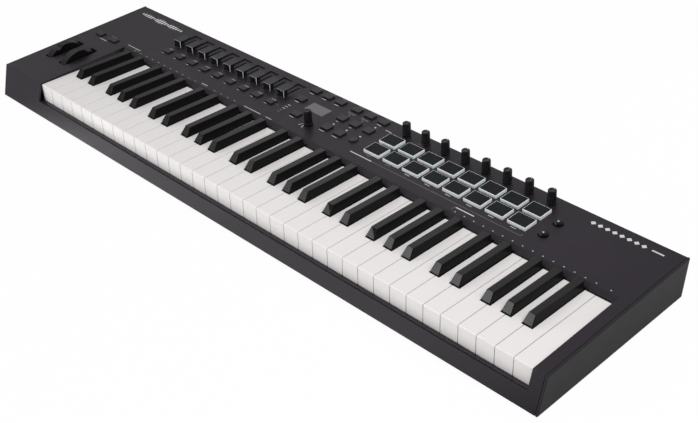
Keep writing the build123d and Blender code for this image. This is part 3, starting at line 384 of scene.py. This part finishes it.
def cap_face_outline():
    """Side view of the front face, a wedge that gets thinner towards the deck."""
    face = -CAP_LENGTH / 2
    points = [(face, CAP_BOTTOM), (face, CAP_TOP), (face + FACE_TOP, CAP_TOP), (face + FACE_FOOT, CAP_BOTTOM)]
    return [(y * MM, z * MM) for y, z in points]


def colour_cap(bm, matrix):
    """Matt top, glossy front, and a painted highlight in pale on the sides of the front face; marks the front
    edges for the bevel, which gets the same painted highlight.
    """
    bm.normal_update()
    weight = bm.edges.layers.float.new("bevel_weight_edge")
    turned = matrix.to_3x3()
    up, rear, right = turned.col[2], turned.col[1], turned.col[0]
    face_rear = -CAP_LENGTH / 2 + FACE_TOP
    for face in bm.faces:
        local = matrix.inverted() @ face.calc_center_median() / MM
        if face.normal.dot(up) > 0.6 and local.z > CAP_TOP - 2:
            face.material_index = 1
        # the sides of the front face get the pale painted highlight
        elif abs(face.normal.dot(right)) > 0.9 and local.y < face_rear:
            face.material_index = 2
    for edge in bm.edges:
        fronts = [face for face in edge.link_faces if face.normal.dot(rear) < -0.9]
        mid = matrix.inverted() @ ((edge.verts[0].co + edge.verts[1].co) / 2) / MM
        if fronts and mid.z > CAP_BOTTOM + 1:
            edge[weight] = 1.0


def make_faders():
    for i in range(1, 10):
        node, body = "fader_cap_%d" % i, "fader_%d" % i
        low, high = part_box(node)
        centre, half = (low + high) / 2, (high.x - low.x) / 2
        matrix = deck_matrix(centre.x, centre.y)
        bm = bmesh.new()
        extrude_profile(bm, cap_plate_outline(), -half, half, matrix)
        extrude_profile(bm, cap_face_outline(), -half, half, matrix)
        bmesh.ops.recalc_face_normals(bm, faces=bm.faces)
        colour_cap(bm, matrix)
        cap_materials = [MATERIALS["gloss"], MATERIALS["fader_top"], MATERIALS["fader_edge"]]
        piece = new_piece("fader_%d_cap" % i, bm, cap_materials, body)
        # the bevel on the front edges takes the pale painted-highlight material
        bevel = add_bevel(piece, 0.85 * MM, 3, material=2)
        bevel.limit_method = "WEIGHT"
        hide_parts(node)
        stem = bmesh.new()
        stem_matrix = matrix @ Matrix.Translation((0, 0, -4 * MM))
        add_slab(stem, stem_matrix, (1.8 * MM, 5 * MM), 12.8 * MM, 0.3 * MM)
        new_piece("fader_%d_lever" % i, stem, [MATERIALS["component"]], body)


# ---- knobs ------------------------------------------------------------------------------
KNOB_SIZE = (5.6, 0.4, 18.5, 0.0)           # radius, taper, height and skirt, mm
ENCODER_SIZE = (5.7, 0.8, 21.2, 0.5)
KNOB_SEGMENTS, KNOB_FLUTES, FLUTE_DEPTH = 120, 20, 0.5
GRIP_FOOT, GRIP_TOP = 3.6, 1.1              # flutes start this far above the deck, end this far below the top
SHAFT_RADIUS, SHAFT_FOOT, SHAFT_TOP = 2.9, -3.0, 0.9


def revolve(bm, profile, matrix, segments=120, flutes=0, depth=0.0, flute_span=(0.0, 1.0), lid_slot=0):
    """Turned shape from (radius, height) points; flutes are pressed into the given height span."""
    loops = []
    for radius, z in profile:
        loop = []
        for i in range(segments):
            a = 2 * math.pi * i / segments
            r = radius
            if flutes and flute_span[0] <= z <= flute_span[1]:
                r -= depth * (0.5 + 0.5 * math.cos(flutes * a)) ** 2
            loop.append(bm.verts.new(matrix @ Vector((r * math.cos(a), r * math.sin(a), z))))
        loops.append(loop)
    for lower, upper in zip(loops, loops[1:]):
        for i in range(segments):
            j = (i + 1) % segments
            bm.faces.new((lower[i], lower[j], upper[j], upper[i]))
    bm.faces.new(loops[-1]).material_index = lid_slot
    bm.faces.new(list(reversed(loops[0])))


def knob_profile(radius, taper, height, skirt):
    """Outline of a tall knob: foot ring, waist, tapered grip, rounded rim and a dished top."""
    points = [(radius + skirt - 0.15, 0.6), (radius + skirt, 0.9)]
    if skirt:
        points += [(radius + skirt, 1.6), (radius - 0.3, 1.8), (radius - 0.3, 2.1), (radius + skirt, 2.3),
                   (radius + skirt, 3.4), (radius - 0.3, 3.7)]
    waist = 4.4 if skirt else 3.0
    points += [(radius, waist - 0.6), (radius - 0.4, waist - 0.3), (radius - 0.4, waist)]
    grip, steps = height - 1.2, 8
    for i in range(steps + 1):
        z = waist + 0.7 + (grip - waist - 0.7) * i / steps
        points.append((radius - taper * z / height, z))
    rim = radius - taper
    for i in range(1, 6):
        a = math.radians(18 * i)
        points.append((rim - 1.2 + 1.2 * math.cos(a), grip + 1.2 * math.sin(a)))
    points += [(rim - 1.7, height - 0.06), (rim - 2.1, height - 0.26), (0.4, height - 0.32)]
    return [(r * MM, z * MM) for r, z in points]


def make_knob(name, node, joint, size, pointer):
    """Knob on its shaft; the rotary knobs have a printed pointer, the encoder a paler top."""
    radius, height = size[0], size[2]
    at = Vector(JOINTS[joint]["pos_m"])
    matrix = deck_matrix(at.x, at.y)
    bm = bmesh.new()
    grip = (GRIP_FOOT * MM, (height - GRIP_TOP) * MM)
    lid_slot = 0 if pointer else 1
    revolve(bm, knob_profile(*size), matrix, KNOB_SEGMENTS, KNOB_FLUTES, FLUTE_DEPTH * MM, grip, lid_slot)
    revolve(bm, [(SHAFT_RADIUS * MM, z * MM) for z in (SHAFT_FOOT, SHAFT_TOP)], matrix, 32)
    if pointer:
        tip = matrix @ Matrix.Translation((0, (radius - 1.9) * MM, (height - 0.42) * MM))
        add_slab(bm, tip, (0.8 * MM, 2.0 * MM), 0.45 * MM, 0.3 * MM, 1)
    top = MATERIALS["print" if pointer else "knob_top"]
    piece = new_piece(name, bm, [MATERIALS["soft_touch"], top], JOINTS[joint]["child"])
    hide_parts(node)


def make_knobs():
    for i in range(1, 9):
        make_knob("rotary_knob_%d" % i, "knob_%d" % i, "turn_knob_%d" % i, KNOB_SIZE, True)
    make_knob("encoder_dial", "encoder_knob", "turn_encoder", ENCODER_SIZE, False)


# ---- wheels -----------------------------------------------------------------------------
WHEEL_RADIUS, WHEEL_CUT = 34.0, 3.0         # mm; the segment ends this far above the axle
WHEEL_RIDGES, RIDGE_DEPTH = 66, 0.16
NOTCH_RADIUS, NOTCH_DEPTH = 9.0, 2.8
WHEELS = (("pitch_wheel", "bend_pitch_wheel", -18.0, 0.0), ("mod_wheel", "turn_mod_wheel", 28.0, 28.0))


def wheel_outline(notch_angle, lean):
    """Side view of a wheel segment; notch and flat underside lean to the rear by angles in degrees."""
    centre = WHEEL_RADIUS - NOTCH_DEPTH + NOTCH_RADIUS
    end = math.acos(WHEEL_CUT / WHEEL_RADIUS)
    steps = WHEEL_RIDGES * 4
    points = []
    for i in range(steps + 1):
        a = end * (2 * i / steps - 1) + math.radians(lean)
        r = WHEEL_RADIUS - RIDGE_DEPTH * (0.5 - 0.5 * math.cos(2 * math.pi * WHEEL_RIDGES * i / steps))
        from_notch = a - math.radians(notch_angle)
        inside = NOTCH_RADIUS ** 2 - (centre * math.sin(from_notch)) ** 2
        if abs(from_notch) < 1 and inside > 0:
            r = min(r, centre * math.cos(from_notch) - math.sqrt(inside))
        points.append((r * math.sin(a) * MM, r * math.cos(a) * MM))
    return points


def make_wheels():
    for name, joint, notch_angle, lean in WHEELS:
        low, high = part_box(name)
        axle = Vector(JOINTS[joint]["pos_m"])
        matrix = deck_matrix(axle.x, axle.y)
        matrix.translation = axle
        half = (high.x - low.x) / 2
        bm = bmesh.new()
        extrude_profile(bm, wheel_outline(notch_angle, lean), -half, half, matrix)
        piece = new_piece("%s_rim" % name, bm, [MATERIALS["wheel"]], JOINTS[joint]["child"])
        add_bevel(piece, 1.0 * MM, 3, 60)
        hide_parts(name)


# ---- printing on the deck ---------------------------------------------------------------
BANK_BUTTON_TOP, BUTTON_TOP = 3.38, 2.28       # mm above the deck
PRINTS = ("print", "grey_print")
BRIGHT, GREY = 0, 1


def bar(bm, x, y, width, length, slot=BRIGHT, turn=0.0, above_deck=0.0):
    """Printed bar centred on (x, y), in millimetres."""
    matrix = deck_matrix(x * MM, y * MM, above_deck * MM) @ Matrix.Rotation(math.radians(turn), 4, "Z")
    corner = min(0.3 * min(width, length), 0.3)
    add_slab(bm, matrix, (width * MM, length * MM), PRINT_LIFT, corner * MM, slot)


def printed(name, bm, body="case"):
    new_piece(name, bm, [MATERIALS[key] for key in PRINTS], body, False)


def edges_of(box):
    """Middle, front and rear of a control in millimetres."""
    low, high = box
    return (low.x + high.x) / 2 / MM, low.y / MM, high.y / MM


KEY_LIGHT_Y = 28.9
LAST_KEY_LIGHT_X = 447.5
DIM_KEY_LIGHTS = [k for k in range(1, 18) if k not in (12, 13)]
BRIGHT_KEY_LIGHTS = range(45, 60)


def make_key_lights():
    """Small lenses behind the keys: dim ones in the bass, bright ones in the treble."""
    first = (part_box("keys_c")[0].x + SEMITONE / 2) / MM
    lens = [(0.85 * MM, -0.2 * MM), (0.85 * MM, 0.05 * MM), (0.7 * MM, 0.14 * MM), (0.35 * MM, 0.18 * MM)]
    for name, keys, material in (("dim_key_lights", DIM_KEY_LIGHTS, "dim_lens"),
                                 ("bright_key_lights", BRIGHT_KEY_LIGHTS, "lens")):
        places = [first + k * SEMITONE / MM for k in keys]
        if material == "lens":
            places.append(LAST_KEY_LIGHT_X)
        bm = bmesh.new()
        for x in places:
            revolve(bm, lens, deck_matrix(x * MM, KEY_LIGHT_Y * MM), 20)
        new_piece(name, bm, [MATERIALS[material]], "case")


def label_rows(bm, x, y, width, rows, slot):
    """Stack of thin strokes that stands for a small legend, rows running forward from y."""
    for row in range(rows):
        bar(bm, x + 0.6 * row, y - 2.1 * row, width - 1.6 * row, 0.8, slot)


def make_button_labels():
    """Short strokes where a button has a legend."""
    bm = bmesh.new()
    for box in solid_boxes("fader_buttons"):
        x, front, rear = edges_of(box)
        bar(bm, x - 3.3, front - 1.0, 4.6, 0.7)
    for box in solid_boxes("function_buttons"):
        x, front, rear = edges_of(box)
        two_lines = rear > 110 and -10 < x < 20
        if two_lines:
            label_rows(bm, x - 0.2, front - 3.6, 14.0, 2, GREY)
        else:
            bar(bm, x - 1.0, front - 2.0, 7.6, 0.9)
        if rear > 110:
            label_rows(bm, x - 0.5, rear + 3.4, 11.0, 2 if -65 < x < 0 else 1, GREY)
    for box in solid_boxes("transport_buttons"):
        x, front, rear = edges_of(box)
        strong = front < 70 or x > 30
        bar(bm, x + 0.4, rear + 4.6, 2.8, 1.8, BRIGHT if strong else GREY)
        if x < 30:
            bar(bm, x - 0.6, front - 2.8, 9.0 if front < 70 else 4.0, 0.8)
    for box in solid_boxes("pads_front_row"):
        x, front, rear = edges_of(box)
        bar(bm, x - 1.0, front - 2.2, 8.0, 0.8, BRIGHT if x > 140 else GREY)
    printed("button_labels", bm)


# x, y, width and length in mm, shade, turn in degrees
DECK_LABELS = (
    (-434.0, 19.6, 15.5, 0.9, BRIGHT, 0), (-427.0, 34.8, 12.0, 0.8, GREY, 0),
    (-451.0, 34.6, 2.2, 0.8, GREY, 0),
    (-376.5, 33.6, 29.0, 0.9, BRIGHT, 0), (-366.0, 30.6, 9.0, 0.8, GREY, 0),
    (-213.0, 31.2, 12.0, 0.9, BRIGHT, 0), (-213.0, 28.4, 11.0, 0.7, GREY, 0),
    (-112.0, 28.4, 33.0, 1.0, BRIGHT, 0), (-80.0, 28.3, 11.5, 0.9, BRIGHT, 0),
    (-37.0, 46.4, 7.4, 1.0, BRIGHT, 65), (-31.8, 43.4, 6.4, 1.0, BRIGHT, -72),
    (-98.7, 59.6, 7.0, 0.5, GREY, 0),
    (60.0, 106.0, 10.0, 0.9, BRIGHT, 0), (112.5, 109.0, 11.0, 0.8, GREY, 0),
)
SCALE_MARKS, SCALE_LEFT, SCALE_FRONT, SCALE_PITCH = 5, -84.2, 49.3, 4.9


def make_deck_labels():
    """Legends beside the octave buttons, the encoder and the first keys, and a small scale."""
    bm = bmesh.new()
    for label in DECK_LABELS:
        bar(bm, *label)
    for i in range(SCALE_MARKS):
        bar(bm, SCALE_LEFT, SCALE_FRONT + SCALE_PITCH * i, 5.0, 0.9, GREY if i < 2 else BRIGHT)
    printed("deck_labels", bm)


# x, y, width and length in mm, shade
GROUP_LINES = ((206.0, 41.9, 228.0, 0.55, GREY), (74.0, 41.9, 36.0, 1.4, BRIGHT),
               (320.0, 43.9, 0.55, 4.2, GREY), (229.8, 33.3, 0.5, 6.4, GREY),
               (245.0, 36.2, 27.0, 1.5, BRIGHT))


def make_lines():
    """Printed lines that group the controls."""
    bm = bmesh.new()
    for line in GROUP_LINES:
        bar(bm, *line)
    printed("printed_lines", bm)


LEVEL_BARS, LEVEL_PITCH, LEVEL_LEFT, LEVEL_Y = 18, 5.35, -457.0, 111.2
LEVEL_WIDTH, LEVEL_LOW, LEVEL_SWING = 3.0, 3.4, 7.4
SQUARES, SQUARE_PITCH, SQUARE_LEFT, SQUARE_Y, SQUARE_SIDE = 8, 9.4, 365.0, 114.2, 5.0
DASH_X, DASH_SIZE = 448.0, (15.0, 2.2)


def make_marks():
    """Two plain abstract marks: a row of level bars at the left, squares and a line at the right."""
    bm = bmesh.new()
    for i in range(LEVEL_BARS):
        swell = math.sin(math.pi * (i + 0.8) / (LEVEL_BARS + 0.6))
        height = LEVEL_LOW + LEVEL_SWING * abs(math.sin(0.55 * i + 0.4)) * swell
        bar(bm, LEVEL_LEFT + LEVEL_PITCH * i, LEVEL_Y, LEVEL_WIDTH, height)
    for i in range(SQUARES):
        bar(bm, SQUARE_LEFT + SQUARE_PITCH * i, SQUARE_Y, SQUARE_SIDE, SQUARE_SIDE, BRIGHT, 45)
    bar(bm, DASH_X, SQUARE_Y, *DASH_SIZE)
    printed("abstract_marks", bm)


def make_icons():
    """A triangle on each bank button, and on each fader button a pale stroke near the rear edge that is a
    painted highlight of the rim.
    """
    arrows = bmesh.new()
    triangle = [(1.5 * MM, -0.9 * MM), (0.0, 1.5 * MM), (-1.5 * MM, -0.9 * MM)]
    for low, high in solid_boxes("bank_buttons"):
        at = (low + high) / 2
        matrix = deck_matrix(at.x, at.y, BANK_BUTTON_TOP * MM)
        loft(arrows, [[(x, y, z) for x, y in triangle] for z in (0.0, PRINT_LIFT)], matrix, [0, 0])
    printed("bank_arrows", arrows, "bank_buttons")

    strokes = bmesh.new()
    for box in solid_boxes("fader_buttons"):
        x, front, rear = edges_of(box)
        # Pale stroke near the rear edge of each fader button: a painted highlight of the rim.
        bar(strokes, x + 2.2, rear - 2.2, 8.4, 0.5, above_deck=BUTTON_TOP)
    printed("fader_button_strokes", strokes, "fader_buttons")


# ---- stage, light and camera ------------------------------------------------------------
FLOOR_SIDE = 12.0
FLOOR_GLOW = ((-0.46, 0.45), (-0.43, 0.67), (-0.38, 1.2), (-0.31, 1.88), (-0.20, 1.37), (-0.10, 1.25),
              (0.0, 0.98), (0.20, 0.90), (0.30, 0.88), (0.40, 0.60), (0.465, 0.24), (0.52, 0.42))
GLOW_PEAK = 2.0                      # the table gives X in metres and the brightness in reflections


def math_node(tree, operation, first, second):
    """Math node whose two operands are numbers or sockets."""
    node = tree.nodes.new("ShaderNodeMath")
    node.operation = operation
    for socket, value in zip(node.inputs, (first, second)):
        if isinstance(value, bpy.types.NodeSocket):
            tree.links.new(value, socket)
        else:
            socket.default_value = value
    return node.outputs["Value"]


def value_ramp(tree, value, stops, peak):
    """Colour ramp through (value, level) stops; levels are stored as parts of the peak."""
    first, last = stops[0][0], stops[-1][0]
    spread = tree.nodes.new("ShaderNodeMapRange")
    spread.inputs["From Min"].default_value = first
    spread.inputs["From Max"].default_value = last
    tree.links.new(value, spread.inputs["Value"])
    ramp = tree.nodes.new("ShaderNodeValToRGB")
    elements = ramp.color_ramp.elements
    while len(elements) < len(stops):
        elements.new(0.5)
    for element, (place, level) in zip(elements, stops):
        element.position = (place - first) / (last - first)
        element.color = (*[level / peak] * 3, 1)
    tree.links.new(spread.outputs["Result"], ramp.inputs["Fac"])
    return ramp.outputs["Color"]


def floor_glow(tree):
    """Brightness that glossy plastic sees in the floor, darker towards both ends of the object."""
    place = tree.nodes.new("ShaderNodeNewGeometry")
    split = tree.nodes.new("ShaderNodeSeparateXYZ")
    tree.links.new(place.outputs["Position"], split.inputs["Vector"])
    glow = node_in(tree, "ShaderNodeEmission", 0, -400, Strength=GLOW_PEAK)
    tree.links.new(value_ramp(tree, split.outputs["X"], FLOOR_GLOW, GLOW_PEAK), glow.inputs["Color"])
    return glow.outputs["Emission"]


def floor_material():
    """White floor: bright to the camera, matt to diffuse light, graded in reflections."""
    material = bpy.data.materials.new("pale_floor")
    material.use_nodes = True
    material.cycles.emission_sampling = "NONE"
    tree = material.node_tree
    tree.nodes.clear()
    rays = tree.nodes.new("ShaderNodeLightPath")
    matt = node_in(tree, "ShaderNodeBsdfDiffuse", 0, 0, Color=(0.9, 0.9, 0.9, 1))
    white = node_in(tree, "ShaderNodeEmission", 0, -200, Color=(1, 1, 1, 1))
    seen = tree.nodes.new("ShaderNodeMixShader")
    reflected = tree.nodes.new("ShaderNodeMixShader")
    output = tree.nodes.new("ShaderNodeOutputMaterial")
    links = tree.links
    links.new(math_node(tree, "MULTIPLY", rays.outputs["Is Camera Ray"], 0.96), seen.inputs["Fac"])
    links.new(matt.outputs["BSDF"], seen.inputs[1])
    links.new(white.outputs["Emission"], seen.inputs[2])
    links.new(rays.outputs["Is Glossy Ray"], reflected.inputs["Fac"])
    links.new(seen.outputs["Shader"], reflected.inputs[1])
    links.new(floor_glow(tree), reflected.inputs[2])
    links.new(reflected.outputs["Shader"], output.inputs["Surface"])
    return material


def make_floor():
    mesh = bpy.data.meshes.new("floor")
    corners = [(-1, -1), (1, -1), (1, 1), (-1, 1)]
    mesh.from_pydata([(FLOOR_SIDE * x, FLOOR_SIDE * y, 0) for x, y in corners], [], [(0, 1, 2, 3)])
    mesh.materials.append(floor_material())
    floor = bpy.data.objects.new("floor", mesh)
    bpy.context.scene.collection.objects.link(floor)


def area_light(name, at, target, size, power):
    """Softbox that lights matt surfaces only; reflections come from the world."""
    data = bpy.data.lights.new(name, "AREA")
    data.shape = "RECTANGLE"
    data.size, data.size_y = size
    data.energy = power
    light = bpy.data.objects.new(name, data)
    bpy.context.scene.collection.objects.link(light)
    light.location = at
    light.rotation_euler = (Vector(target) - Vector(at)).to_track_quat("-Z", "Y").to_euler()
    light.visible_glossy = False


# name, place, target and size in metres, power in watts
SOFTBOXES = (("top_softbox", (1.2, 0.1, 2.1), (0.2, 0, 0), (2.0, 1.8), 35),
             ("left_softbox", (-2.0, -2.1, 0.45), (-0.2, -0.1, 0), (1.4, 0.8), 38))


def make_lights():
    for softbox in SOFTBOXES:
        area_light(*softbox)


WORLD_MATT = 0.45                    # brightness for matt surfaces
WORLD_DIM = 0.10                     # brightness in reflections, away from the panel
PANEL = ((-0.82, 0.10), (-0.77, 0.22), (-0.71, 0.52), (-0.63, 0.70), (-0.54, 0.56), (-0.44, 0.38),
         (-0.34, 0.28))              # sideways direction and brightness of a panel behind the object
LOBES = (((-0.93, 0.24, 0.27), 250.0, 4.0), ((-0.60, -0.05, 0.80), 20.0, 1.4),
         ((-0.486, -0.768, 0.415), 85.0, 7.0))     # direction, sharpness, power


def world_lobe(tree, direction, axis, sharpness, power):
    """Soft round highlight around an axis."""
    dot = tree.nodes.new("ShaderNodeVectorMath")
    dot.operation = "DOT_PRODUCT"
    tree.links.new(direction, dot.inputs[0])
    dot.inputs[1].default_value = Vector(axis).normalized()
    positive = math_node(tree, "MAXIMUM", dot.outputs["Value"], 0.0)
    return math_node(tree, "MULTIPLY", math_node(tree, "POWER", positive, sharpness), power)


def reflected_world(tree):
    """A graded panel behind the object, dim elsewhere, with two soft highlights."""
    direction = tree.nodes.new("ShaderNodeTexCoord").outputs["Generated"]
    split = tree.nodes.new("ShaderNodeSeparateXYZ")
    tree.links.new(direction, split.inputs["Vector"])
    panel = value_ramp(tree, split.outputs["X"], PANEL, 1.0)
    behind = tree.nodes.new("ShaderNodeMapRange")
    behind.interpolation_type = "SMOOTHSTEP"
    behind.inputs["From Min"].default_value = 0.05
    behind.inputs["From Max"].default_value = 0.40
    tree.links.new(split.outputs["Y"], behind.inputs["Value"])
    lit = math_node(tree, "MULTIPLY", panel, behind.outputs["Result"])
    total = math_node(tree, "MAXIMUM", lit, WORLD_DIM)
    for axis, sharpness, power in LOBES:
        total = math_node(tree, "ADD", total, world_lobe(tree, direction, axis, sharpness, power))
    return total


def make_world():
    world = bpy.data.worlds.new("studio")
    bpy.context.scene.world = world
    world.use_nodes = True
    world.cycles.sampling_method = "NONE"
    tree = world.node_tree
    rays = tree.nodes.new("ShaderNodeLightPath")
    not_glossy = math_node(tree, "SUBTRACT", 1.0, rays.outputs["Is Glossy Ray"])
    matt = math_node(tree, "MULTIPLY", not_glossy, WORLD_MATT)
    glossy = math_node(tree, "MULTIPLY", rays.outputs["Is Glossy Ray"], reflected_world(tree))
    level = math_node(tree, "ADD", matt, glossy)
    shown = math_node(tree, "MAXIMUM", level, rays.outputs["Is Camera Ray"])
    tree.links.new(shown, tree.nodes["Background"].inputs["Strength"])
    tree.nodes["Background"].inputs["Color"].default_value = (1, 1, 1, 1)


def make_camera():
    data = bpy.data.cameras.new("camera")
    data.lens = CAMERA_LENS
    data.sensor_width = CAMERA_SENSOR
    data.sensor_fit = "HORIZONTAL"
    data.clip_end = 50.0
    camera = bpy.data.objects.new("camera", data)
    bpy.context.scene.collection.objects.link(camera)
    az, el, roll = (math.radians(a) for a in (CAMERA_AZIMUTH, CAMERA_ELEVATION, CAMERA_ROLL))
    back = Vector((math.sin(az) * math.cos(el), -math.cos(az) * math.cos(el), math.sin(el)))
    level = Vector((math.cos(az), math.sin(az), 0))
    upright = back.cross(level)
    right = level * math.cos(roll) + upright * math.sin(roll)
    up = upright * math.cos(roll) - level * math.sin(roll)
    matrix = Matrix((right, up, back)).transposed().to_4x4()
    matrix.translation = CAMERA_AT
    camera.matrix_world = matrix
    bpy.context.scene.camera = camera


def make_view():
    scene = bpy.context.scene
    scene.view_settings.view_transform = "Standard"
    scene.view_settings.look = "None"


paint_nodes()
make_pads()
make_faders()
make_knobs()
make_wheels()
make_key_lights()
make_button_labels()
make_deck_labels()
make_lines()
make_marks()
make_icons()
make_floor()
make_lights()
make_world()
make_camera()
make_view()
